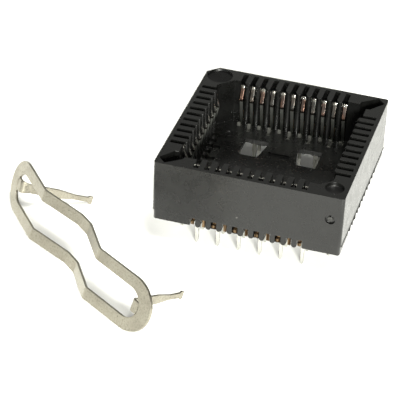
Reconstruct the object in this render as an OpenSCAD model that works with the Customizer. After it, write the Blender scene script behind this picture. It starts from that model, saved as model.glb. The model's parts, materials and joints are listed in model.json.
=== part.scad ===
// Through-hole socket for a square chip carrier with bent-under leads, and its loose retaining clip.
// Millimetres, +Z up. The origin is the middle of the housing's underside: the solder tails hang below it.
// The clip lies on its side on the surface that the tails stand on, taken off the socket.

/* [Contact rows] */
// Distance between neighbouring contacts
contact_pitch = 1.27; // [1.2:0.01:1.4]
// Contacts along each side, an odd number so that one stands in the middle
contacts_per_side = 11; // [9:2:13]

/* [Housing] */
// From the outermost contact's middle to the ribs' inner ends on the next side
row_margin = 2.25; // [2.1:0.05:2.6]
// Side wall, from the ribs' inner ends to the outer face
wall_t = 2.575; // [2.4:0.025:3]
// Height from the underside to the top face
body_h = 7.67; // [7.4:0.01:8.5]
// Rounding of the upright corners
corner_r = 0.35; // [0.2:0.05:0.6]
// Flat across the index corner, measured along each side
index_chamfer = 1.3; // [0.8:0.1:1.6]
// Wall left outside the contact slots
rim_t = 0.485; // [0.4:0.005:0.6]
// Width of a contact slot
slot_w = 0.58; // [0.54:0.01:0.66]
// Sloped lead-in on the ribs' top inner edge
lead_in = 0.15; // [0.1:0.05:0.3]
// Height of the set-back band round the lower edge
band_h = 1.05; // [0.95:0.05:1.4]
// Depth of the set-back band
band_step = 0.08; // [0.05:0.01:0.15]

/* [Pocket] */
// Height of the pocket's floor above the underside
floor_z = 2; // [1.9:0.05:2.3]
// Thickness of the floor in the middle
floor_t = 0.5; // [0.4:0.05:0.6]
// Thickness of the floor over the inner row of tails
shelf_t = 0.85; // [0.8:0.05:1]
// Wall left between the hollow underside and the contact slots
skirt_t = 0.33; // [0.25:0.01:0.4]
// How far the pocket's corners are set back from the ribs' inner ends
corner_back = 0.45; // [0.25:0.05:0.55]
// Cut across the pocket's index corner, along each side
key_chamfer = 1.7; // [1.2:0.1:2]
// Cut across the corner opposite the index corner
far_chamfer = 1.25; // [1.15:0.05:1.6]
// Floor left between the front and the back windows
bar_w = 4.1; // [3.4:0.1:5]
// Floor left between the left and the right windows, at the bar
web_w = 4.8; // [4.2:0.1:5.4]
// The same at the windows' far ends
web_end_w = 3.5; // [3:0.1:4]
// Floor left between a window and the inner row of tails, front and back
window_gap = 0.72; // [0.6:0.02:1]
// Floor left between a window and the inner row of tails, at the sides
window_side_gap = 1.6; // [1.2:0.05:2]
// Width of the raised triangle that points at the first contact
arrow_w = 2.7; // [2:0.1:3]
// Length of the triangle
arrow_len = 2.15; // [1.6:0.05:2.4]
// From the socket's middle to the triangle's base
arrow_y = 3.25; // [2.6:0.05:3.4]
// Height of the triangle
arrow_h = 0.25; // [0.15:0.05:0.4]
// Diameter of the mould's ejector mark on the floor
ejector_d = 0.9; // [0.6:0.1:1.2]
// Depth of the ejector mark
ejector_depth = 0.12; // [0.06:0.02:0.2]
// From the ejector mark's middle to the left ribs' inner ends
ejector_inset_x = 1.65; // [1.5:0.05:1.8]
// From the ejector mark's middle to the back ribs' inner ends
ejector_inset_y = 2.55; // [2.4:0.05:2.7]

/* [Corner marks] */
// Diameter of the shallow dish at the index corner
dish_d = 3.1; // [2.4:0.1:3.2]
// Depth of the dish
dish_depth = 0.22; // [0.1:0.02:0.4]
// From the dish's middle to the two outer faces
dish_inset = 1.8; // [1.7:0.05:2]
// Diameter of the round recess at the opposite corner
recess_d = 2.2; // [1.6:0.1:2.3]
// Depth of the round recess
recess_depth = 0.5; // [0.2:0.05:0.8]
// From the recess's middle to the right face
recess_inset_x = 1.65; // [1.5:0.05:1.75]
// From the recess's middle to the front face
recess_inset_y = 1.95; // [1.8:0.05:2]
// Diameter of the mould's gate mark on the front face
gate_d = 1.2; // [0.8:0.1:1.4]
// Depth of the gate mark
gate_depth = 0.26; // [0.16:0.02:0.4]
// From the gate mark's middle to the housing's side face
gate_inset = 1.5; // [1.2:0.1:2]
// Height of the gate mark above the underside
gate_z = 4.65; // [3:0.05:6]
// Diameter of the broken-off stub in the gate mark
gate_stub_d = 0.64; // [0.5:0.02:0.72]

/* [Feet and notches] */
// Width of the notch in the rim under each contact
notch_w = 0.66; // [0.6:0.01:0.72]
// Height of the notches above the underside
notch_h = 0.9; // [0.7:0.05:0.95]
// How far the rounded feet stand below the underside
foot_h = 0.25; // [0.15:0.05:0.35]
// How far the four corner blocks stand below the underside
pad_h = 0.14; // [0.06:0.02:0.2]

/* [Contacts] */
// Thickness of the contact strip
strip_t = 0.22; // [0.16:0.01:0.26]
// Width of the spring beam
beam_w = 0.37; // [0.32:0.01:0.44]
// Width of the bead across the tip of an outer-row contact
bead_w = 0.45; // [0.4:0.01:0.53]
// Diameter of the tip's bead
bead_d = 0.28; // [0.24:0.02:0.34]
// Width of the base and of the retention limb above it
base_w = 0.5; // [0.46:0.01:0.53]
// Height of the base above the underside of the shelf that its arms run in
base_lift = 0.15; // [0.1:0.01:0.2]
// Depth of the tip below the housing's top face
tip_drop = 0.72; // [0.5:0.02:1]
// How far the tip stands back from the ribs' inner ends
tip_back = 0.6; // [0.5:0.05:0.8]
// How far the beam's bend reaches into the pocket
bend_reach = 0.05; // [0:0.05:0.3]
// Depth of the beam's bend below the top face
bend_drop = 2.3; // [2:0.05:2.6]
// Height of the inner post above the pocket's floor
post_h = 0.45; // [0.3:0.05:0.6]
// How far the inner post's face stands inside the ribs' inner ends
post_reach = 0.67; // [0.55:0.01:0.75]
// Height of the retention limb above the base
limb_h = 1.4; // [1.2:0.1:2]
// How far an outer-row contact's limb ends above the underside
limb_lift = 0.25; // [0.1:0.05:0.4]
// How far an inner-row contact's limb shows below the underside
limb_drop = 0.35; // [0.2:0.05:0.5]
// How far the floor is open in front of an inner-row contact's post
foot_slot = 0.9; // [0.6:0.05:1]
// Width of a solder tail
tail_w = 0.4; // [0.34:0.01:0.44]
// How far the tails reach below the underside
tail_len = 3.85; // [3:0.05:5]
// Room beside and above the arms that lead to the inner row of tails
arm_gap = 0.06; // [0.04:0.01:0.1]

/* [Clip legs and their slots] */
// Width of the diagonal slots for the clip's legs, at their mouths and outer ends
leg_slot_w = 1.3; // [1.25:0.05:1.6]
// How far the slots widen on each side behind their mouths
leg_slot_bulge = 0.28; // [0.1:0.02:0.36]
// Length of the lips at the slots' mouths
leg_slot_lip = 0.4; // [0.3:0.05:0.6]
// Housing left between a diagonal slot's end and the corner, along the diagonal
leg_slot_wall = 1.05; // [0.9:0.05:1.5]
// How far the diagonal slots reach into the floor
leg_slot_reach = 1.75; // [1.4:0.05:2]
// From a diagonal slot's outer end to the bend of the clip's leg
leg_back = 2; // [1.8:0.05:2.2]
// Depth of the leg's tip below the clip's middle flat
leg_depth = 7.8; // [7.4:0.05:8.6]
// How far the back leg's tip leans in towards the middle
back_lean = 2.75; // [2:0.05:3.4]
// How far the front leg's tip leans in towards the middle
front_lean = 1.75; // [1.2:0.05:2.6]
// Width of a leg at its root
leg_root_w = 1.45; // [1.3:0.05:1.7]
// Room left beside a leg in its slot
leg_play = 0.15; // [0.1:0.01:0.2]
// Width of a leg's neck
leg_neck_w = 0.62; // [0.5:0.02:0.8]
// Length of a leg's neck
leg_neck_len = 1.5; // [1.2:0.1:2]
// Width across a leg's flared tip
leg_tip_w = 1.05; // [0.9:0.05:1.2]

/* [Clip ring] */
// Thickness of the clip's sheet
clip_t = 0.3; // [0.26:0.02:0.4]
// Width across the ring
clip_w = 6.5; // [6:0.05:7.2]
// Width of the ring's long strips
clip_strip_w = 1.42; // [1.2:0.02:1.6]
// Sheet left at each end, from the leg's bend to the end
clip_end = 2.9; // [2.7:0.02:3.2]
// How far the ring's opening reaches past a leg's bend
relief = 1.15; // [1:0.05:1.3]
// From the middle to each crest
crest_u = 6.4; // [5.5:0.1:7.5]
// Height of the crests above the middle flat
crest_h = 1.88; // [1.4:0.02:2.4]
// Half the length of the middle flat
flat_u = 1.1; // [0.8:0.1:1.6]
// Height of the ring's back end above the middle flat
back_end_h = 0.1; // [-0.2:0.02:0.4]
// Height of the ring's front end above the middle flat
front_end_h = -0.36; // [-0.6:0.02:0]

/* [Clip beside the socket] */
// Turn of the clip on the surface, in degrees
clip_turn = -41.8; // [-50:0.1:-35]
// From the housing's left face to the clip's middle
clip_away_x = 6.6; // [6:0.1:12]
// From the housing's front face to the clip's middle
clip_away_y = 6.8; // [6:0.1:12]

/* [Hidden] */
contact_count = 4 * contacts_per_side;
row_half = contact_pitch * (contacts_per_side - 1) / 2;
pocket_half = row_half + row_margin;
corner_half = pocket_half + corner_back;
body_half = pocket_half + wall_t;
body_diagonal = body_half * sqrt(2);
slot_out = body_half - rim_t;
post_in = pocket_half - post_reach;
outer_tail_n = row_half + 2 * contact_pitch;
inner_tail_n = row_half;
foot_w = contact_pitch - notch_w;
rib_r = (contact_pitch - slot_w) / 2;
window_y = inner_tail_n - window_gap;
window_x = inner_tail_n - window_side_gap;
hollow_half = post_in - skirt_t;
shelf_z = floor_z - shelf_t;
// The shelf reaches a little inside the inner row of tails
shelf_half = inner_tail_n - strip_t - 2 * arm_gap;
base_z = shelf_z + base_lift;
// Cutters run past the faces that they open
over = 0.5;
lead_in_half = row_half + slot_w / 2;
gate_stub_drop = gate_depth / 4;
bend_steps = 6;
round_fn = 48;

// Contact profile, as distance from the socket's middle and height
base_mid = base_z + strip_t / 2;
// The beam starts outside the tail, leans in as it rises and bows into the pocket
beam_foot_n = outer_tail_n + 1.5 * strip_t;
beam_set = 0.1;
beam_rise = 0.6;
beam_back = 0.35;
beam_mid_z = 1.3;
beam_path = [
    [beam_foot_n, base_mid],
    [beam_foot_n - beam_set, base_z + beam_rise],
    [pocket_half + beam_back, floor_z + beam_mid_z],
    [pocket_half - bend_reach, body_h - bend_drop],
    [pocket_half + tip_back, body_h - tip_drop]
];
beam_radii = [0.8, 5, 0.35];
barb_h = 0.4;
// Straight end of an arm before its tail turns down
arm_lead = 0.3;
tail_taper = 0.35;
tail_point_w = tail_w / 2;
tail_shoulder_z = -0.1;

// Clip profile, as distance along the clip and height above its middle flat
slot_end = body_diagonal - leg_slot_wall;
slot_mouth = corner_half * sqrt(2) - leg_slot_w / 2;
leg_u = slot_end - leg_back;
clip_half = leg_u + clip_end;
ring_r = clip_w / 2;
opening_r = ring_r - clip_strip_w;
relief_u = leg_u + relief;
crest_r = 0.6;
flat_r = 0.8;
leg_bend_r = 0.5;
leg_w = leg_slot_w - leg_play;
// A leg is drawn a little thinner than the ring, so that its root lies inside the end sheet
leg_thinning = 0.02;
leg_t = clip_t - leg_thinning;
leg_tip_len = 0.6;
leg_taper_len = 2;
table_z = -tail_len;
// On its side the clip leans until both leg tips and the middle flat's edge touch the surface
clip_lean = atan2(leg_depth - clip_t / 2, ring_r - leg_tip_w / 2);
clip_rise = ring_r * sin(clip_lean) + clip_t / 2 * cos(clip_lean);

function contact_name(k) = str("contact_", k < 10 ? "0" : "", k);

// Contacts are counted from the middle of the back side, anticlockwise seen from above
function place_of(k) = (k - 1 + (contacts_per_side - 1) / 2) % contact_count;
function side_of(k) = floor(place_of(k) / contacts_per_side);
function step_of(k) = place_of(k) % contacts_per_side;
function is_outer(i) = i % 2 == 0;
function along(i) = row_half - i * contact_pitch;

// Height of a sloped end sheet at a distance along the clip
function end_height(u, end_h) = crest_h + (end_h - crest_h) * (u - crest_u) / (clip_half - crest_u);

// Polylines with rounded bends, and strips of constant thickness along them
function unit(v) = v / norm(v);
function left_of(v) = [-v[1], v[0]];
function turned(v, a) = [v[0] * cos(a) - v[1] * sin(a), v[0] * sin(a) + v[1] * cos(a)];
function bend(a, b, c, r) =
    let (
        d1 = unit(a - b),
        d2 = unit(c - b),
        inside = acos(d1 * d2),
        middle = b + unit(d1 + d2) * r / sin(inside / 2),
        start = b + d1 * r / tan(inside / 2) - middle,
        way = cross(b - a, c - b) > 0 ? 1 : -1
    )
    [for (s = [0 : bend_steps]) middle + turned(start, way * (180 - inside) * s / bend_steps)];
function rounded(p, r) = concat(
    [p[0]],
    [for (i = [1 : len(p) - 2]) each bend(p[i - 1], p[i], p[i + 1], r[i - 1])],
    [p[len(p) - 1]]
);
function aside(p, i) =
    i == 0 ? left_of(unit(p[1] - p[0])) :
    i == len(p) - 1 ? left_of(unit(p[i] - p[i - 1])) :
    let (a = left_of(unit(p[i] - p[i - 1])), b = left_of(unit(p[i + 1] - p[i]))) (a + b) / (1 + a * b);
function strip(p, t) = concat(
    [for (i = [0 : len(p) - 1]) p[i] + aside(p, i) * t / 2],
    [for (i = [len(p) - 1 : -1 : 0]) p[i] - aside(p, i) * t / 2]
);

// Sets a profile of distance and height upright on the back side, w wide along the wall
module along_wall(w) {
    rotate([90, 0, 90])
        translate([0, 0, -w / 2])
            linear_extrude(w)
                children();
}

// Sets an outline of place along the wall and height upright, t thick about distance n
module facing_wall(n, t) {
    translate([0, n + t / 2, 0])
        rotate([90, 0, 0])
            linear_extrude(t)
                children();
}

// Repeats a shape drawn for the back side's wall at every contact of the four sides
module at_contacts(outer = true, inner = true) {
    for (side = [0 : 3], i = [0 : contacts_per_side - 1])
        if (is_outer(i) ? outer : inner)
            rotate(90 * side)
                translate([along(i), 0])
                    children();
}

// Outline of the housing, set in by a step, with rounded corners and the index corner cut off
module housing_outline(step) {
    half = body_half - step;
    intersection() {
        union() {
            square([2 * half, 2 * (half - corner_r)], center = true);
            square([2 * (half - corner_r), 2 * half], center = true);
            for (x = [-1, 1], y = [-1, 1])
                translate([x, y] * (half - corner_r))
                    circle(corner_r, $fn = round_fn);
        }
        polygon([
            [-half, -half],
            [half, -half],
            [half, half],
            [-half + index_chamfer, half],
            [-half, half - index_chamfer]
        ]);
    }
}

// Opening for the chip, with its key corner, the ribs' round inner ends and the slots for the clip's legs
module pocket_outline() {
    row_w = 2 * row_half + slot_w;
    difference() {
        polygon([
            [-corner_half, -corner_half],
            [corner_half - far_chamfer, -corner_half],
            [corner_half, -corner_half + far_chamfer],
            [corner_half, corner_half],
            [-corner_half + key_chamfer, corner_half],
            [-corner_half, corner_half - key_chamfer]
        ]);
        for (side = [0 : 3])
            rotate(90 * side)
                translate([-row_w / 2, pocket_half - rib_r])
                    square([row_w, body_half - pocket_half]);
    }
    for (side = [0 : 3])
        rotate(90 * side)
            difference() {
                translate([-row_w / 2, pocket_half - 2 * rib_r])
                    square([row_w, 3 * rib_r]);
                for (i = [0 : contacts_per_side - 2])
                    translate([along(i) - contact_pitch / 2, pocket_half + rib_r])
                        circle(rib_r, $fn = round_fn);
            }
    leg_slots(pocket_half);
}

// The two diagonal slots, from a distance along the diagonal to their outer ends, with a lip on each side
module leg_slots(from) {
    half_w = leg_slot_w / 2;
    for (a = [45, 225], side = [-1, 1])
        rotate(a)
            polygon([
                [from, 0],
                [from, side * half_w],
                [slot_mouth, side * half_w],
                [slot_mouth + leg_slot_lip, side * (half_w + leg_slot_bulge)],
                [slot_end, side * half_w],
                [slot_end, 0]
            ]);
}

module contact_slots() {
    at_contacts()
        translate([-slot_w / 2, post_in])
            square([slot_w, slot_out - post_in]);
}

// Path of the arm from an inner-row contact's base to its tail, one step along the wall
function arm_path() = [
    [0, post_in + strip_t],
    [0, inner_tail_n + contact_pitch],
    [contact_pitch, inner_tail_n + arm_lead],
    [contact_pitch, inner_tail_n - strip_t / 2]
];

// Groove in the underside round one arm and its tail
module arm_groove() {
    polygon(strip(arm_path(), base_w + 2 * arm_gap));
    translate([contact_pitch, inner_tail_n])
        square([base_w + 2 * arm_gap, strip_t + 2 * arm_gap], center = true);
}

// Rounded feet between the notches
module feet() {
    length = body_half - band_step - post_in;
    for (side = [0 : 3], i = [0 : contacts_per_side - 2])
        rotate(90 * side)
            translate([along(i) - contact_pitch / 2, post_in + length / 2, 0])
                facing_wall(0, length) {
                    translate([0, foot_w / 2 - foot_h])
                        circle(d = foot_w, $fn = round_fn);
                    translate([-foot_w / 2, foot_w / 2 - foot_h])
                        square([foot_w, foot_h]);
                }
}

// Blocks at the four corners, standing a little below the rim
module corner_pads() {
    start = row_half + notch_w / 2;
    translate([0, 0, -pad_h])
        linear_extrude(pad_h + band_h)
            intersection() {
                housing_outline(band_step);
                for (side = [0 : 3])
                    rotate(90 * side)
                        translate([start, start])
                            square(body_half - start);
            }
}

module lead_ins() {
    for (side = [0 : 3])
        rotate(90 * side)
            along_wall(2 * lead_in_half)
                polygon([
                    [pocket_half - over, body_h - lead_in - over],
                    [pocket_half + lead_in + over, body_h + over],
                    [pocket_half - over, body_h + over]
                ]);
}

module windows() {
    for (x = [-1, 1], y = [-1, 1])
        quarter(x, y)
            polygon([
                [web_w / 2, bar_w / 2],
                [window_x, bar_w / 2],
                [window_x, window_y],
                [web_end_w / 2, window_y]
            ]);
}

// Mirrors an outline to one of the four quarters of the floor
module quarter(x, y) {
    mirror([x < 0 ? 1 : 0, 0])
        mirror([0, y < 0 ? 1 : 0])
            children();
}

// Raised triangle on the floor, pointing at the first contact in the middle of the back side
module arrow() {
    translate([0, 0, floor_z - floor_t / 2])
        linear_extrude(arrow_h + floor_t / 2)
            polygon([
                [-arrow_w / 2, arrow_y],
                [arrow_w / 2, arrow_y],
                [0, arrow_y + arrow_len]
            ]);
}

// Round mark where the plastic entered the mould: a ring-shaped dip about the broken-off stub
module gate_mark() {
    translate([body_half - gate_inset, gate_depth - body_half, gate_z])
        rotate([90, 0, 0])
            difference() {
                cylinder(h = gate_depth + over, d = gate_d, $fn = round_fn);
                cylinder(h = gate_depth - gate_stub_drop, d = gate_stub_d, $fn = round_fn);
            }
}

module housing() {
    color("#3b3d3b") {
        arrow();
        difference() {
            union() {
                translate([0, 0, band_h])
                    linear_extrude(body_h - band_h)
                        housing_outline(0);
                linear_extrude(band_h)
                    housing_outline(band_step);
                feet();
                corner_pads();
            }
            translate([0, 0, -over])
                linear_extrude(over + shelf_z)
                    square(2 * hollow_half, center = true);
            translate([0, 0, -over])
                linear_extrude(over + floor_z - floor_t)
                    square(2 * shelf_half, center = true);
            translate([0, 0, floor_z])
                linear_extrude(body_h)
                    pocket_outline();
            translate([0, 0, -over])
                linear_extrude(body_h + 2 * over)
                    contact_slots();
            translate([0, 0, -over])
                linear_extrude(over + notch_h)
                    at_contacts()
                        translate([-notch_w / 2, slot_out - over])
                            square([notch_w, 2 * over + rim_t]);
            lead_ins();
            translate([0, 0, -over])
                linear_extrude(over + floor_z + over) {
                    windows();
                    leg_slots(corner_half * sqrt(2) - leg_slot_reach);
                }
            translate([0, 0, -over])
                linear_extrude(over + base_z + strip_t + arm_gap)
                    at_contacts(outer = false)
                        arm_groove();
            translate([0, 0, base_z])
                linear_extrude(body_h - base_z)
                    at_contacts(outer = false)
                        translate([-slot_w / 2, post_in - foot_slot])
                            square([slot_w, foot_slot + strip_t]);
            translate([ejector_inset_x - pocket_half, pocket_half - ejector_inset_y, floor_z - ejector_depth])
                cylinder(h = ejector_depth + over, d = ejector_d, $fn = round_fn);
            translate([dish_inset - body_half, body_half - dish_inset, body_h - dish_depth])
                cylinder(h = dish_depth + over, d = dish_d, $fn = round_fn);
            translate([body_half - recess_inset_x, recess_inset_y - body_half, body_h - recess_depth])
                cylinder(h = recess_depth + over, d = recess_d, $fn = round_fn);
            gate_mark();
        }
    }
}

// Solder tail with a shoulder at the base and a pointed end
module tail() {
    polygon([
        [-base_w / 2, base_mid],
        [-base_w / 2, tail_shoulder_z],
        [-tail_w / 2, tail_shoulder_z - tail_taper],
        [-tail_w / 2, tail_taper - tail_len],
        [-tail_point_w / 2, -tail_len],
        [tail_point_w / 2, -tail_len],
        [tail_w / 2, tail_taper - tail_len],
        [tail_w / 2, tail_shoulder_z - tail_taper],
        [base_w / 2, tail_shoulder_z],
        [base_w / 2, base_mid]
    ]);
}

// Retention limb against the rim, with a barb that bears on both sides of its slot
module limb(bottom) {
    top = base_z + limb_h;
    barb_z = top - 2 * barb_h;
    polygon([
        [-beam_w / 2, bottom],
        [beam_w / 2, bottom],
        [beam_w / 2, base_z],
        [base_w / 2, base_z],
        [base_w / 2, barb_z],
        [slot_w / 2, barb_z],
        [base_w / 2, barb_z + barb_h],
        [base_w / 2, top],
        [-base_w / 2, top],
        [-base_w / 2, barb_z + barb_h],
        [-slot_w / 2, barb_z],
        [-base_w / 2, barb_z],
        [-base_w / 2, base_z],
        [-beam_w / 2, base_z]
    ]);
}

// One contact on the back side's wall. Outer ones have their tail under the wall, inner ones under the floor
module formed_contact(outer) {
    limb_bottom = outer ? limb_lift : -limb_drop;
    along_wall(base_w)
        translate([post_in, base_z])
            square([slot_out - post_in, strip_t]);
    facing_wall(slot_out - strip_t / 2, strip_t)
        limb(limb_bottom);
    along_wall(beam_w)
        translate([post_in, base_mid])
            square([strip_t, floor_z + post_h - base_mid]);
    along_wall(beam_w)
        polygon(strip(rounded(beam_path, beam_radii), strip_t));
    translate([0, beam_path[len(beam_path) - 1][0], beam_path[len(beam_path) - 1][1]])
        rotate([0, 90, 0])
            cylinder(h = outer ? bead_w : beam_w, d = bead_d, center = true, $fn = round_fn);
    if (outer) {
        facing_wall(outer_tail_n, strip_t)
            tail();
    } else {
        translate([0, 0, base_z])
            linear_extrude(strip_t)
                polygon(strip(arm_path(), base_w));
        translate([contact_pitch, 0, 0])
            facing_wall(inner_tail_n, strip_t)
                tail();
    }
}

module contact(k) {
    color("#c8b78f")
        rotate(90 * side_of(k))
            translate([along(step_of(k)), 0, 0])
                formed_contact(is_outer(step_of(k)));
}

// Stadium with its ends at plus and minus half
module oblong(half, r) {
    square([2 * (half - r), 2 * r], center = true);
    for (x = [-1, 1])
        translate([x * (half - r), 0])
            circle(r, $fn = 2 * round_fn);
}

// The ring's wave along the clip: sloped ends, two crests and the middle flat
function wave_path() = rounded(
    [
        [-clip_half - over, end_height(clip_half + over, back_end_h)],
        [-crest_u, crest_h],
        [-flat_u, 0],
        [flat_u, 0],
        [crest_u, crest_h],
        [clip_half + over, end_height(clip_half + over, front_end_h)]
    ],
    [crest_r, flat_r, flat_r, crest_r]
);

module clip_ring() {
    intersection() {
        facing_wall(0, clip_w + 2 * over)
            polygon(strip(wave_path(), clip_t));
        translate([0, 0, -crest_h])
            linear_extrude(3 * crest_h)
                difference() {
                    oblong(clip_half, ring_r);
                    oblong(relief_u, opening_r);
                }
    }
}

// A leg seen along the clip: wide root, neck and flared tip
module leg_outline(root_z) {
    tip_z = -leg_depth - over;
    neck_z = leg_tip_len - leg_depth;
    taper_z = neck_z + leg_neck_len;
    wide_z = taper_z + leg_taper_len;
    half = [
        [leg_tip_w / 2 - leg_tip_len / 4, tip_z],
        [leg_tip_w / 2, neck_z - leg_tip_len / 2],
        [leg_neck_w / 2, neck_z],
        [leg_neck_w / 2, taper_z],
        [leg_w / 2, wide_z],
        [leg_w / 2, root_z - 2 * leg_bend_r],
        [leg_root_w / 2, root_z - leg_bend_r / 2],
        [leg_root_w / 2, root_z + over]
    ];
    polygon(concat(
        half,
        [for (i = [len(half) - 1 : -1 : 0]) [-half[i][0], half[i][1]]]
    ));
}

// Leg at the front end of the clip: a tongue of the end sheet, bent down and leaning in
module clip_leg(end_h, lean) {
    root_u = relief_u + clip_t;
    path = rounded(
        [
            [root_u, end_height(root_u, end_h)],
            [leg_u, end_height(leg_u, end_h)],
            [leg_u - lean, -leg_depth]
        ],
        [leg_bend_r]
    );
    intersection() {
        facing_wall(0, leg_root_w + over)
            polygon(strip(path, leg_t));
        rotate([0, 0, 90])
            translate([0, -clip_half, 0])
                facing_wall(0, 2 * clip_half)
                    leg_outline(end_height(leg_u, end_h));
    }
}

module retaining_clip() {
    color("#d3cdbd")
        translate([-body_half - clip_away_x, -body_half - clip_away_y, table_z + clip_rise])
            rotate([0, 0, clip_turn])
                rotate([clip_lean, 0, 0]) {
                    clip_ring();
                    clip_leg(front_end_h, front_lean);
                    mirror([1, 0, 0])
                        clip_leg(back_end_h, back_lean);
                }
}

housing();
for (k = [1 : contact_count])
    contact(k);
retaining_clip();
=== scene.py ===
# %% [markdown]
# A socket for a square chip carrier, and the loose clip that holds the chip down.
# The socket is a black moulded frame with a spring contact in every slot along its four walls.
# The clip is one strip of spring steel, stamped, folded and laid on its side next to the socket.
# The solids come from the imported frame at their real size, so this lesson is about finish and light:
# black plastic, tin plating and steel each show what they are by how they reflect a white table.

import json
import math

import bpy
from mathutils import Matrix, Vector

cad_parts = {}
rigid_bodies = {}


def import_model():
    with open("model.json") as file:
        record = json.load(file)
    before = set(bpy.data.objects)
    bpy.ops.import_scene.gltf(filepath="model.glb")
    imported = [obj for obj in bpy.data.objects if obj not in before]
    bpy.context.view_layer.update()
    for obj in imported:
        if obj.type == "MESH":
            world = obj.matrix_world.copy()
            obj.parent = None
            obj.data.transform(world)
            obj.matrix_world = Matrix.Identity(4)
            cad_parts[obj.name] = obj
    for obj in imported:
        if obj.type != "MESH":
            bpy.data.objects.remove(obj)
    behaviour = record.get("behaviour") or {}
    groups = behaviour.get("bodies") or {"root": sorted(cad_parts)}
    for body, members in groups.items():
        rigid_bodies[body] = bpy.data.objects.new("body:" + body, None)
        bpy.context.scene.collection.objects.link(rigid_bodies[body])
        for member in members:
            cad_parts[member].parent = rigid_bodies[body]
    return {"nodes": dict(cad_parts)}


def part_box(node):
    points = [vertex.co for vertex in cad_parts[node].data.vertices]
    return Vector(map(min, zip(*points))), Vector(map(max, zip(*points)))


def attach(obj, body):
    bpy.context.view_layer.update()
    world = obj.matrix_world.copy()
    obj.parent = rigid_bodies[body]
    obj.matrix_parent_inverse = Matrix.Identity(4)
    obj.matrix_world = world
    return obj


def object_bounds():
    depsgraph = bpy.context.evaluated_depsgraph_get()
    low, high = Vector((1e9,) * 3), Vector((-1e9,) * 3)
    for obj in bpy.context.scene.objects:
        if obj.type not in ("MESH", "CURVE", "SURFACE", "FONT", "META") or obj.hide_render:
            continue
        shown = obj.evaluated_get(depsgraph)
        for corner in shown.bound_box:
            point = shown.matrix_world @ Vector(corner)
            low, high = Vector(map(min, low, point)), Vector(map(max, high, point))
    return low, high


for leftover in list(bpy.data.objects):
    bpy.data.objects.remove(leftover)
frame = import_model()
cad_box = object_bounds()
nodes = frame["nodes"]
contacts = [name for name in nodes if name.startswith("contact_")]
scene = bpy.context.scene
mm = 0.001
print("solids:", len(nodes), "of them contacts:", len(contacts))

# %% [markdown]
# The photograph was taken through a long lens, from the front and a little to the right, looking down.
# A camera could be set by eye, but the housing's real size is known, so its corners in the picture fix
# the camera exactly: the angles, the place and the focal length below come from that match.

# %% Camera
picture_px = 400
focal_px = 2058.87
sensor_mm = 36
camera_azimuth = math.radians(15.44)
camera_elevation = math.radians(34.85)
camera_roll = math.radians(2.585)
camera_place = Vector((45.675, -196.503, 137.604)) * mm

ahead = Vector((
    -math.sin(camera_azimuth) * math.cos(camera_elevation),
    math.cos(camera_azimuth) * math.cos(camera_elevation),
    -math.sin(camera_elevation),
))
level_right = Vector((math.cos(camera_azimuth), math.sin(camera_azimuth), 0))
level_up = level_right.cross(ahead)
right = level_right * math.cos(camera_roll) + level_up * math.sin(camera_roll)
up = level_up * math.cos(camera_roll) - level_right * math.sin(camera_roll)

lens = bpy.data.cameras.new("photo_lens")
lens.sensor_width = sensor_mm
lens.lens = focal_px / picture_px * sensor_mm
lens.clip_start = 0.01
lens.clip_end = 10
camera = bpy.data.objects.new("photo_camera", lens)
turned = Matrix((right, up, -ahead)).transposed().to_4x4()
camera.matrix_world = Matrix.Translation(camera_place) @ turned
scene.collection.objects.link(camera)
scene.camera = camera
print("lens:", round(lens.lens, 1), "mm")

# %% [markdown]
# The object lies on a white table, and the exposure is so high that the table is pure white. A sheet that
# curves up behind could be used, but the camera looks down and sees nothing beyond the table, so a flat
# one is enough. It matters most as a mirror image: black plastic has little colour of its own, so the
# front is grey because it mirrors the table, and the right side is nearly white because it does so at a
# grazing angle.

# %% White table
floor_half = 1.5
floor_z = cad_box[0].z
paper_white = (0.84, 0.84, 0.83)
paper_roughness = 0.8
paper_shine = 0.2


def new_material(name):
    material = bpy.data.materials.new(name)
    material.use_nodes = True
    tree = material.node_tree
    return material, tree, tree.nodes["Principled BSDF"].inputs


paper, _, surface = new_material("table_paper")
surface["Base Color"].default_value = (*paper_white, 1)
surface["Roughness"].default_value = paper_roughness
surface["Specular IOR Level"].default_value = paper_shine

corners = [(-1, -1), (1, -1), (1, 1), (-1, 1)]
floor_points = [(x * floor_half, y * floor_half, floor_z) for x, y in corners]
floor_mesh = bpy.data.meshes.new("white_table")
floor_mesh.from_pydata(floor_points, [], [(0, 1, 2, 3)])
floor_mesh.materials.append(paper)
floor = bpy.data.objects.new("white_table", floor_mesh)
scene.collection.objects.link(floor)
print("table at", round(floor_z / mm, 2), "mm")

# %% [markdown]
# One lamp could light the table, but its shadows would show. Two share the work: a low lamp beside the
# camera lights the table under the front edge and throws its shadow straight back, and a high lamp fills
# that shadow. Each alone keeps the table white, so only the place that both miss is grey, behind the
# body, where the photograph shows it through the pocket's windows. The top of the plastic mirrors what is
# behind it, and it is dark, so a dim wall stands there and the rest of the room is darker still.

# %% Lamps and room
lamp_white = (1, 1, 0.94)
room_strength = 0.16
table_middle = Vector((0, 0, floor_z))


def add_softbox(name, place, width, height, watts):
    lamp = bpy.data.lights.new(name, "AREA")
    lamp.shape = "RECTANGLE"
    lamp.size = width
    lamp.size_y = height
    lamp.energy = watts
    lamp.color = lamp_white
    box = bpy.data.objects.new(name, lamp)
    box.location = place
    box.rotation_euler = (table_middle - Vector(place)).to_track_quat("-Z", "Y").to_euler()
    scene.collection.objects.link(box)
    print("lamp:", name, watts, "W")


add_softbox("low_front_lamp", place=(0.712, -1.764, 0.618), width=0.9, height=0.3, watts=150)
add_softbox("high_front_lamp", place=(0.575, -0.575, 1.827), width=0.6, height=0.6, watts=57)
add_softbox("pale_wall_behind", place=(-0.53, 1.93, 0.75), width=2, height=1.1, watts=2.6)

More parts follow.
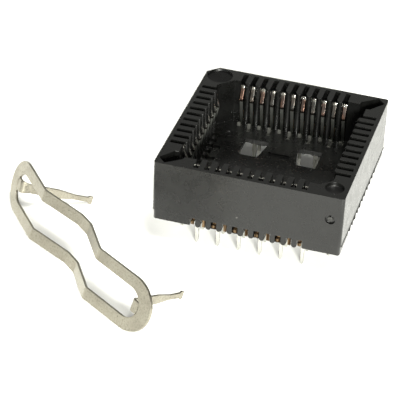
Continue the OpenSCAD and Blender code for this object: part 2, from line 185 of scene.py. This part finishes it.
room = bpy.data.worlds.new("dark_room")
room.use_nodes = True
room_light = room.node_tree.nodes["Background"].inputs
room_light["Color"].default_value = (*lamp_white, 1)
room_light["Strength"].default_value = room_strength
scene.world = room
scene.view_settings.view_transform = "Standard"

# %% [markdown]
# Several finishes share the same small faults: a slow change of tone, a fine grain, stray specks and the
# lines that rolling leaves in sheet metal. Each could be drawn again in every material, but it is made
# once as a shader node group with named sockets, and every material sets its own sizes on it. The groups
# read the object's own coordinates, so a pattern stays on its piece when the piece moves. The helpers
# below take a number or another node's output for any input, so that each node is one short statement.

# %% Helpers for node trees


def feed(tree, source, target):
    if isinstance(source, bpy.types.NodeSocket):
        tree.links.new(source, target)
    else:
        target.default_value = source


def add_node(tree, kind, name, values=None, **settings):
    node = tree.nodes.new(kind)
    node.name = name
    node.label = name
    for key, value in settings.items():
        setattr(node, key, value)
    for key, value in (values or {}).items():
        feed(tree, value, node.inputs[key])
    return node


def calculate(tree, operation, name, first, second):
    node = add_node(tree, "ShaderNodeMath", name, {0: first, 1: second}, operation=operation)
    return node.outputs["Value"]


def new_group(name, sizes, result):
    group = bpy.data.node_groups.new(name, "ShaderNodeTree")
    for size, value in sizes.items():
        kind = "NodeSocketVector" if isinstance(value, tuple) else "NodeSocketFloat"
        group.interface.new_socket(size, in_out="INPUT", socket_type=kind).default_value = value
    group.interface.new_socket(result, in_out="OUTPUT", socket_type="NodeSocketFloat")
    start = add_node(group, "NodeGroupInput", "sizes in")
    end = add_node(group, "NodeGroupOutput", "mask out")
    place = add_node(group, "ShaderNodeTexCoord", "place on the piece")
    print("group:", name)
    return group, start.outputs, end.inputs[result], place.outputs["Object"]


# %% [markdown]
# Moulded plastic and tempered steel change their tone and gloss slowly from place to place. A painted map
# could hold that, but a cloudy noise needs no picture. Its middle part is spread between two limits, so
# that one group serves for a mask from nought to one and for a narrow range of roughness.

# %% Group: slow change of tone
mottle, sizes, mask, place = new_group("slow_mottle", {"Scale": 400, "Low": 0, "High": 1}, "Value")
cloud_values = {"Vector": place, "Scale": sizes["Scale"], "Detail": 4, "Roughness": 0.6}
clouds = add_node(mottle, "ShaderNodeTexNoise", "clouds", cloud_values).outputs["Fac"]
limits = {"To Min": sizes["Low"], "To Max": sizes["High"]}
spread_values = {"Value": clouds, "From Min": 0.35, "From Max": 0.65, **limits}
spread = add_node(mottle, "ShaderNodeMapRange", "spread", spread_values)
feed(mottle, spread.outputs["Result"], mask)

# %% [markdown]
# The skin of a moulding and the face of a stamped sheet have pores too fine to be seen as shapes. They
# could be modelled, but they only break up the gloss, so a rough noise at a small scale is enough.

# %% Group: fine grain
grain, sizes, mask, place = new_group("fine_grain", {"Scale": 9000}, "Height")
pore_values = {"Vector": place, "Scale": sizes["Scale"], "Detail": 3, "Roughness": 0.7}
pores = add_node(grain, "ShaderNodeTexNoise", "pores", pore_values)
feed(grain, pores.outputs["Fac"], mask)

# %% [markdown]
# Dust and pits are single small spots with much clean surface between them. Noise would spread them too
# evenly, so the surface is cut into cells, each cell draws a lot by its random colour, and the few that
# are chosen get a round speck in the middle.

# %% Group: stray specks
speck_sizes = {"Scale": 1500, "Share": 0.1, "Size": 0.25}
specks, sizes, mask, place = new_group("stray_specks", speck_sizes, "Mask")
cell_values = {"Vector": place, "Scale": sizes["Scale"]}
cells = add_node(specks, "ShaderNodeTexVoronoi", "cells", cell_values).outputs
lot = add_node(specks, "ShaderNodeSeparateColor", "lot of each cell", {"Color": cells["Color"]})
chosen = calculate(specks, "LESS_THAN", "chosen cells", lot.outputs["Red"], sizes["Share"])
inside = calculate(specks, "LESS_THAN", "inside the speck", cells["Distance"], sizes["Size"])
feed(specks, calculate(specks, "MULTIPLY", "speck", chosen, inside), mask)

# %% [markdown]
# Rolling a sheet or drawing a part from its mould leaves long thin lines. A wave texture would repeat, so
# noise is squeezed instead: most of the place along one way is taken out, which draws every blot of the
# noise out into a line that way.

# %% Group: rolling lines
line_sizes = {"Along": (0, 0, 1), "Scale": 12000, "Stretch": 0.97}
rolled, sizes, mask, place = new_group("rolled_lines", line_sizes, "Height")
way_values = {0: place, 1: sizes["Along"]}
way = add_node(rolled, "ShaderNodeVectorMath", "way along", way_values, operation="DOT_PRODUCT")
part = calculate(rolled, "MULTIPLY", "part taken out", way.outputs["Value"], sizes["Stretch"])
step_values = {0: sizes["Along"], "Scale": part}
step = add_node(rolled, "ShaderNodeVectorMath", "step back", step_values, operation="SCALE")
squeeze_values = {0: place, 1: step.outputs["Vector"]}
squeezed = add_node(rolled, "ShaderNodeVectorMath", "squeezed place", squeeze_values, operation="SUBTRACT")
line_values = {"Vector": squeezed.outputs["Vector"], "Scale": sizes["Scale"], "Detail": 2, "Roughness": 0.5}
lines = add_node(rolled, "ShaderNodeTexNoise", "lines", line_values)
feed(rolled, lines.outputs["Fac"], mask)

# %% [markdown]
# A finish is laid on in layers, as on the real part: a first colour, then each fault or plated band over
# it. A mask says where a layer shows. It comes from one of the groups, or from the place on the piece: a
# band between two values, or a ball about a spot. The solids lie at the origin of the frame, so their own
# coordinates are real sizes, and a mask by place needs no second material.

# %% Helpers for materials


def place_group(tree, group, name, **sizes):
    return add_node(tree, "ShaderNodeGroup", name, sizes, node_tree=group).outputs[0]


def stretch(tree, name, value, low, high):
    values = {"Value": value, "From Min": low, "From Max": high}
    return add_node(tree, "ShaderNodeMapRange", name, values).outputs["Result"]


def in_band(tree, name, value, low, high):
    middle = (low + high) / 2
    values = {0: value, 1: middle, 2: high - middle}
    return add_node(tree, "ShaderNodeMath", name, values, operation="COMPARE").outputs["Value"]


def near_spot(tree, name, place, spot, radius):
    gap = add_node(tree, "ShaderNodeVectorMath", name, {0: place, 1: spot}, operation="DISTANCE")
    return in_band(tree, name + " mask", gap.outputs["Value"], -radius, radius)


def blend_number(tree, name, mask, first, second):
    values = {"Factor": mask, "A": first, "B": second}
    return add_node(tree, "ShaderNodeMix", name, values, data_type="FLOAT").outputs["Result"]


def blend_colour(tree, name, mask, first, second):
    mix = add_node(tree, "ShaderNodeMix", name, {"Factor": mask}, data_type="RGBA")
    colour_inputs = [socket for socket in mix.inputs if socket.type == "RGBA"]
    for colour, socket in zip((first, second), colour_inputs):
        feed(tree, (*colour, 1) if isinstance(colour, tuple) else colour, socket)
    return next(socket for socket in mix.outputs if socket.type == "RGBA")


def add_relief(tree, name, height, strength, depth, over):
    values = {"Height": height, "Strength": strength, "Distance": depth}
    bump = add_node(tree, "ShaderNodeBump", name, values)
    feed(tree, bump.outputs["Normal"], over)
    return bump.inputs["Normal"]


# %% [markdown]
# The housing is moulded from black plastic filled with glass fibre, with a slow change of tone where the
# melt flowed and a few pale specks of dust. A mid grey would look like paint: the base colour is very
# dark, because nearly all that the camera sees is reflected light. The index dish and the corner recess
# get an even darker black as painted shade in these hollows, and the recess is also rougher. The stub in
# the mould's gate mark was torn off, so it shows pale flecks.

# %% Finish: black moulded plastic
dish_spot = Vector((-9.375, 9.375, 7.45)) * mm
dish_radius = 1.55 * mm
recess_spot = Vector((9.525, -9.225, 7.17)) * mm
recess_radius = 1.1 * mm
gate_spot = Vector((9.675, -11.11, 4.65)) * mm
stub_radius = 0.36 * mm
flow_dark = (0.001, 0.001, 0.0009)
flow_light = (0.002, 0.0021, 0.0019)
dust_grey = (0.05, 0.05, 0.045)
# Painted shade: an even darker black for the shade inside the index dish and the corner recess.
hollow_shade_black = (0.0003, 0.0003, 0.0003)
torn_grey = (0.02, 0.02, 0.018)
recess_roughness = 0.48
plastic_ior = 1.5

plastic, tree, surface = new_material("black_plastic")
place = add_node(tree, "ShaderNodeTexCoord", "place on the socket").outputs["Object"]
in_dish = near_spot(tree, "index dish", place, dish_spot, dish_radius)
in_recess = near_spot(tree, "corner recess", place, recess_spot, recess_radius)
in_stub = near_spot(tree, "gate stub", place, gate_spot, stub_radius)
tone = place_group(tree, mottle, "flow tone", Scale=350, Low=0, High=1)
dust = place_group(tree, specks, "dust", Scale=900, Share=0.012, Size=0.1)
torn = place_group(tree, grain, "torn plastic", Scale=4500)
flecks = stretch(tree, "flecks", torn, low=0.42, high=0.56)
torn_stub = calculate(tree, "MULTIPLY", "torn stub", flecks, in_stub)

colour = blend_colour(tree, "flow colour", tone, flow_dark, flow_light)
colour = blend_colour(tree, "dust colour", dust, colour, dust_grey)
# Painted shade in the index dish and the corner recess.
colour = blend_colour(tree, "painted shade in dish", in_dish, colour, hollow_shade_black)
colour = blend_colour(tree, "painted shade in recess", in_recess, colour, hollow_shade_black)
colour = blend_colour(tree, "torn colour", torn_stub, colour, torn_grey)
feed(tree, colour, surface["Base Color"])

gloss = place_group(tree, mottle, "gloss change", Scale=700, Low=0.25, High=0.31)
matt = blend_number(tree, "matt recess", in_recess, gloss, recess_roughness)
feed(tree, matt, surface["Roughness"])
surface["IOR"].default_value = plastic_ior
print("material:", plastic.name)

# %% [markdown]
# The skin of the moulding is smooth but not polished: it has a fine grain, and faint upright marks where
# it was drawn from the mould. The floor of the index dish leans a little towards the back. None of this is
# deep enough to need a mesh, so each is a relief in the material, laid one over the other. The height of
# the dish's floor is worked out in metres, so its relief takes it at full size.

# %% Relief of the plastic
upright = (0, 0, 1)
dish_slope = 0.085
skin_depth = 0.01 * mm
full_size = 1

skin = place_group(tree, grain, "skin grain", Scale=7000)
marks = place_group(tree, rolled, "draw marks", Along=upright, Scale=1800)
to_the_back = add_node(tree, "ShaderNodeSeparateXYZ", "place each way", {"Vector": place}).outputs["Y"]
slope = calculate(tree, "MULTIPLY", "slope of the dish floor", to_the_back, dish_slope)
dish_floor = calculate(tree, "MULTIPLY", "dish floor", slope, in_dish)
under = add_relief(tree, "relief", skin, strength=0.06, depth=skin_depth, over=surface["Normal"])
under = add_relief(tree, "drawn relief", marks, strength=0.04, depth=skin_depth, over=under)
add_relief(tree, "dish relief", dish_floor, strength=full_size, depth=full_size, over=under)
print("reliefs on", plastic.name)

# %% [markdown]
# The contacts are phosphor bronze strip, plated in bands, so the finish changes with height. The tails
# are tinned to take solder. Above them, around the body's underside, the strip gets a darker grey as
# painted shade. The beam is satin grey, with painted shade darkening it towards its foot, and the bend
# has a painted dark shade line along its crease. Below it stands the post that stops the chip. Above the
# bend comes the part that chips rub, up to the bead at the tip. The limbs end in the notches under the
# rim. The bands could be separate materials on separate faces, but the faces run the whole length of the
# strip, so masks by place on the socket find them.

# %% Bands of the plated strip
tail_foot = -5 * mm
tinned_top = -1.6 * mm
# Top of the band of painted shade around the body's underside; the posts start above it.
shade_band_top = 1.6 * mm
post_top = 2.6 * mm
post_outside = 8.3 * mm
beam_foot = 2.4 * mm
crease_low = 5.17 * mm
crease_high = 5.4 * mm
bead_low = 6.8 * mm
strip_top = 9 * mm
limb_inside = 10.35 * mm


def find_bands(tree):
    place = add_node(tree, "ShaderNodeTexCoord", "place on the socket").outputs["Object"]
    z = add_node(tree, "ShaderNodeSeparateXYZ", "height on the socket", {"Vector": place}).outputs["Z"]
    size_of = add_node(tree, "ShaderNodeVectorMath", "distance each way", {0: place}, operation="ABSOLUTE")
    parts = add_node(tree, "ShaderNodeSeparateXYZ", "x and y", {"Vector": size_of.outputs["Vector"]})
    x = parts.outputs["X"]
    y = parts.outputs["Y"]
    farther = calculate(tree, "MAXIMUM", "the farther one", x, y)
    near_middle = in_band(tree, "near the middle", farther, 0, post_outside)
    above_floor = in_band(tree, "just above the floor", z, shade_band_top, post_top)
    return {
        "tin": in_band(tree, "tinned tail", z, tail_foot, tinned_top),
        # band of painted shade on the metal around the body's underside
        "under-body shade": in_band(tree, "painted under-body shade band", z, tinned_top, shade_band_top),
        "post": calculate(tree, "MULTIPLY", "on the post", near_middle, above_floor),
        # painted shade growing towards the foot of the beam
        "shade towards the foot": stretch(tree, "painted shade to the foot", z, beam_foot, crease_low),
        # painted shade along the crease of the bend
        "painted crease shade": in_band(tree, "painted shade in the bend", z, crease_low, crease_high),
        "above": in_band(tree, "above the bend", z, crease_high, strip_top),
        "bead": in_band(tree, "on the bead", z, bead_low, strip_top),
        "limb": calculate(tree, "GREATER_THAN", "on the limb", farther, limb_inside),
        "side row": calculate(tree, "GREATER_THAN", "in a side row", x, y),
    }


print("strip from", round(tail_foot / mm, 1), "to", round(strip_top / mm, 1), "mm")

# %% [markdown]
# The plating is rubbed above the bend of the front and back rows. Above the bend of the side rows the
# strip is painted near-white, a painted highlight for the glints on their edges. The posts are frosted,
# with painted light in the front and back rows and painted shade in the side rows. The limbs were
# sheared after plating, so they show bare bronze in dark and light streaks. Two kinds of contact
# alternate along a wall, and a second set of nodes could be drawn for the second kind, but only the
# rubbed tone differs, so the finish is a function: contacts with their tails in the outer row are rubbed
# to copper, the others to grey.

# %% Finish: plated bronze strip
tin_white = (0.46, 0.46, 0.43)
# Painted shade: a darker grey for the metal under and around the body's underside.
under_body_shade_grey = (0.18, 0.18, 0.165)
# Painted light and shade: the posts are lit in the front and back rows and shaded in the side rows.
post_lit_grey = (0.1, 0.1, 0.092)
post_shade_black = (0.01, 0.01, 0.009)
# Painted shade: the beam darkens towards its foot, deep in the pocket.
beam_foot_shade = (0.05, 0.052, 0.047)
beam_light = (0.18, 0.185, 0.17)
# Painted shade: a dark line along the crease of the bend.
crease_shade_black = (0.012, 0.01, 0.008)
# Painted highlight: the side rows above the bend are near-white, for the glints on their edges.
side_row_glint_white = (0.95, 0.92, 0.87)
bead_bright = (0.6, 0.58, 0.53)
bronze_dark = (0.025, 0.014, 0.007)
bronze_light = (0.19, 0.13, 0.075)
satin_roughness = 0.46
frosted_roughness = 0.7
line_depth = 0.01 * mm


def plate_contacts(name, worn_dark, worn_light):
    material, tree, surface = new_material(name)
    band = find_bands(tree)
    worn = place_group(tree, rolled, "worn plating", Along=upright, Scale=2600)
    streaks = stretch(tree, "streaks", worn, low=0.38, high=0.6)
    rubbed_and_side_glint = blend_colour(tree, "worn tone", streaks, worn_dark, worn_light)
    # Painted highlight: near-white side rows above the bend.
    rubbed_and_side_glint = blend_colour(tree, "painted glint in side rows", band["side row"], rubbed_and_side_glint, side_row_glint_white)
    sheared = place_group(tree, rolled, "sheared bronze", Along=upright, Scale=8000)
    shear_lines = stretch(tree, "shear lines", sheared, low=0.44, high=0.58)
    limb = blend_colour(tree, "limb colour", shear_lines, bronze_dark, bronze_light)
    # Painted light on the posts of the front and back rows, painted shade on those of the side rows.
    post = blend_colour(tree, "painted light and shade on posts", band["side row"], post_lit_grey, post_shade_black)

    # Painted shade towards the foot of the beam.
    colour = blend_colour(tree, "beam", band["shade towards the foot"], beam_foot_shade, beam_light)
    colour = blend_colour(tree, "beam and top", band["above"], colour, rubbed_and_side_glint)
    # Painted shade along the crease of the bend.
    colour = blend_colour(tree, "painted crease shade", band["painted crease shade"], colour, crease_shade_black)
    colour = blend_colour(tree, "bead", band["bead"], colour, bead_bright)
    # Painted shade on the strip around the body's underside.
    colour = blend_colour(tree, "under-body shade", band["under-body shade"], colour, under_body_shade_grey)
    colour = blend_colour(tree, "tin", band["tin"], colour, tin_white)
    colour = blend_colour(tree, "bronze limbs", band["limb"], colour, limb)
    colour = blend_colour(tree, "post", band["post"], colour, post)
    feed(tree, colour, surface["Base Color"])

    gloss = place_group(tree, mottle, "gloss change", Scale=1500, Low=0.18, High=0.22)
    satin = blend_number(tree, "satin beam", band["above"], satin_roughness, gloss)
    frosted = blend_number(tree, "frosted post", band["post"], satin, frosted_roughness)
    feed(tree, frosted, surface["Roughness"])
    drawn = place_group(tree, rolled, "drawn lines", Along=upright, Scale=16000)
    add_relief(tree, "relief", drawn, strength=0.01, depth=line_depth, over=surface["Normal"])
    surface["Metallic"].default_value = 1
    print("material:", name)
    return material


copper_dark = (0.18, 0.145, 0.13)
copper_light = (0.21, 0.125, 0.095)
worn_grey_dark = (0.12, 0.118, 0.11)
worn_grey_light = (0.17, 0.145, 0.125)
outer_plating = plate_contacts("plated_bronze_copper", copper_dark, copper_light)
inner_plating = plate_contacts("plated_bronze_grey", worn_grey_dark, worn_grey_light)

# %% [markdown]
# The clip is spring steel, left as it came from the stamping press. It has the warm grey of tempered
# steel, faint lines along the strip from rolling, small dark pits, and a change of gloss where it was
# handled. The cut edges could be painted darker, but they look dark because they face the dark room, so
# one finish serves for the whole strip.

# %% Finish: spring steel
clip_turn = math.radians(-41.8)
clip_way = (math.cos(clip_turn), math.sin(clip_turn), 0)
steel_dark = (0.29, 0.271, 0.223)
steel_light = (0.345, 0.326, 0.268)
grain_dark = (0.2, 0.183, 0.147)
pit_dark = (0.2, 0.184, 0.15)
mill_depth = 0.015 * mm

steel, tree, surface = new_material("spring_steel")
tone = place_group(tree, mottle, "temper tone", Scale=500, Low=0, High=1)
speckle = place_group(tree, grain, "speckle", Scale=5000)
grainy = stretch(tree, "speckle strength", speckle, low=0.48, high=0.72)
pits = place_group(tree, specks, "pits", Scale=2500, Share=0.07, Size=0.26)
colour = blend_colour(tree, "temper colour", tone, steel_dark, steel_light)
colour = blend_colour(tree, "grain colour", grainy, colour, grain_dark)
colour = blend_colour(tree, "pit colour", pits, colour, pit_dark)
feed(tree, colour, surface["Base Color"])

gloss = place_group(tree, mottle, "gloss change", Scale=900, Low=0.3, High=0.42)
feed(tree, gloss, surface["Roughness"])
mill = place_group(tree, rolled, "mill lines", Along=clip_way, Scale=9000)
add_relief(tree, "relief", mill, strength=0.25, depth=mill_depth, over=surface["Normal"])
surface["Metallic"].default_value = 1
print("material:", steel.name)

# %% [markdown]
# No moulded or stamped edge is perfectly sharp, and the thin bright line along each edge is what makes a
# small part look real. The solids are never changed, so the edges are softened by modifiers: weld the
# faces' shared edges, merge flat neighbours, bevel the sharp edges by a few hundredths of a millimetre,
# and let the large faces set the normals so that they stay flat. A contact with its tail in the outer row
# is known by its narrow box, because the others have an arm that reaches along the wall.

# %% Soft edges and finishes on the solids
housing_edge = 0.02 * mm
contact_edge = 0.02 * mm
clip_edge = 0.03 * mm
widest_outer = 0.8 * mm


def soften_edges(piece, width):
    weld = piece.modifiers.new("join_faces", "WELD")
    weld.merge_threshold = 0.0001 * mm
    flat = piece.modifiers.new("merge_flat_faces", "DECIMATE")
    flat.decimate_type = "DISSOLVE"
    flat.angle_limit = math.radians(0.5)
    bevel = piece.modifiers.new("soft_edges", "BEVEL")
    bevel.width = width
    bevel.segments = 2
    bevel.limit_method = "ANGLE"
    bevel.angle_limit = math.radians(30)
    bevel.use_clamp_overlap = False
    normals = piece.modifiers.new("flat_face_normals", "WEIGHTED_NORMAL")
    normals.keep_sharp = True


def dress(name, material, edge):
    piece = nodes[name]
    piece.material_slots[0].material = material
    soften_edges(piece, edge)


def is_outer(name):
    low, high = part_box(name)
    return min(high.x - low.x, high.y - low.y) < widest_outer


dress("housing", plastic, housing_edge)
dress("retaining_clip", steel, clip_edge)
for name in contacts:
    dress(name, outer_plating if is_outer(name) else inner_plating, contact_edge)
print("dressed:", len(nodes), "solids")

# %% [markdown]
# Two small features of the socket are strips with the same side view along their whole length. Each could
# be a curve with a bevel profile, but a few corners swept straight from end to end give clean flat faces.
# The side view lists distances out from the wall and heights, in millimetres.

# %% Helpers for swept strips


def add_strip(points, faces, side_view, base, out, width):
    wall_way = Vector((-out.y, out.x, 0))
    count = len(side_view)
    near = [len(points) + i for i in range(count)]
    far = [i + count for i in near]
    for half in (-width / 2, width / 2):
        for distance, height in side_view:
            points.append(base + wall_way * half + out * distance * mm + Vector((0, 0, height * mm)))
    faces.append(near[::-1])
    faces.append(far)
    for i in range(count):
        after = (i + 1) % count
        faces.append([near[i], near[after], far[after], far[i]])


def add_socket_piece(name, points, faces, material, edge):
    mesh = bpy.data.meshes.new(name)
    mesh.from_pydata(points, [], faces)
    mesh.materials.append(material)
    piece = bpy.data.objects.new(name, mesh)
    scene.collection.objects.link(piece)
    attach(piece, "socket")
    soften_edges(piece, edge)
    print(name + ":", len(faces), "faces")


# %% [markdown]
# Every notch under the rim is filled by metal down to its lower edge. A contact whose tail stands in the
# outer row ends there in a small tip, set out over the notch's floor. A plain block would fill the notch
# too, but its flat top would give it away, so the tip is a strip bent twice.

# %% Tips of the outer limbs
tip_width = 0.42 * mm
tip_edge = 0.01 * mm
tip_side = [
    (-0.03, 0.52),
    (0.03, 0.52),
    (0.31, 0.38),
    (0.31, 0.02),
    (0.23, 0.02),
    (0.23, 0.32),
    (0, 0.43),
    (-0.03, 0.43),
]


def outward(place):
    if abs(place.x) > abs(place.y):
        return Vector((math.copysign(1, place.x), 0, 0))
    return Vector((0, math.copysign(1, place.y), 0))


tip_points = []
tip_faces = []
for name in filter(is_outer, contacts):
    low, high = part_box(name)
    middle = (low + high) / 2
    out = outward(middle)
    limb_face = max(low.dot(out), high.dot(out))
    base = Vector((middle.x, middle.y, 0))
    base += out * (limb_face - base.dot(out))
    add_strip(tip_points, tip_faces, tip_side, base, out, tip_width)
add_socket_piece("limb_tips", tip_points, tip_faces, outer_plating, tip_edge)

# %% [markdown]
# The two halves of the mould met low on the left and right sides, and left a fine raised line there. Its
# upper side mirrors the dim wall, so on the bright right side it shows as a thin dark line. A painted line
# would not change with the view, so it is a real ridge, about a twentieth of a millimetre high.

# %% Parting lines of the mould
corner_gap = 0.3 * mm
ridge_edge = 0.01 * mm
ridge_side = [
    (-0.1, 1.07),
    (0.055, 1.04),
    (0.055, 1.01),
    (-0.1, 0.96),
]

low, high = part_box("housing")
ridge_length = high.y - low.y - 2 * corner_gap
ridge_points = []
ridge_faces = []
for side in (-1, 1):
    out = Vector((side, 0, 0))
    add_strip(ridge_points, ridge_faces, ridge_side, out * high.x, out, ridge_length)
add_socket_piece("parting_lines", ridge_points, ridge_faces, plastic, ridge_edge)
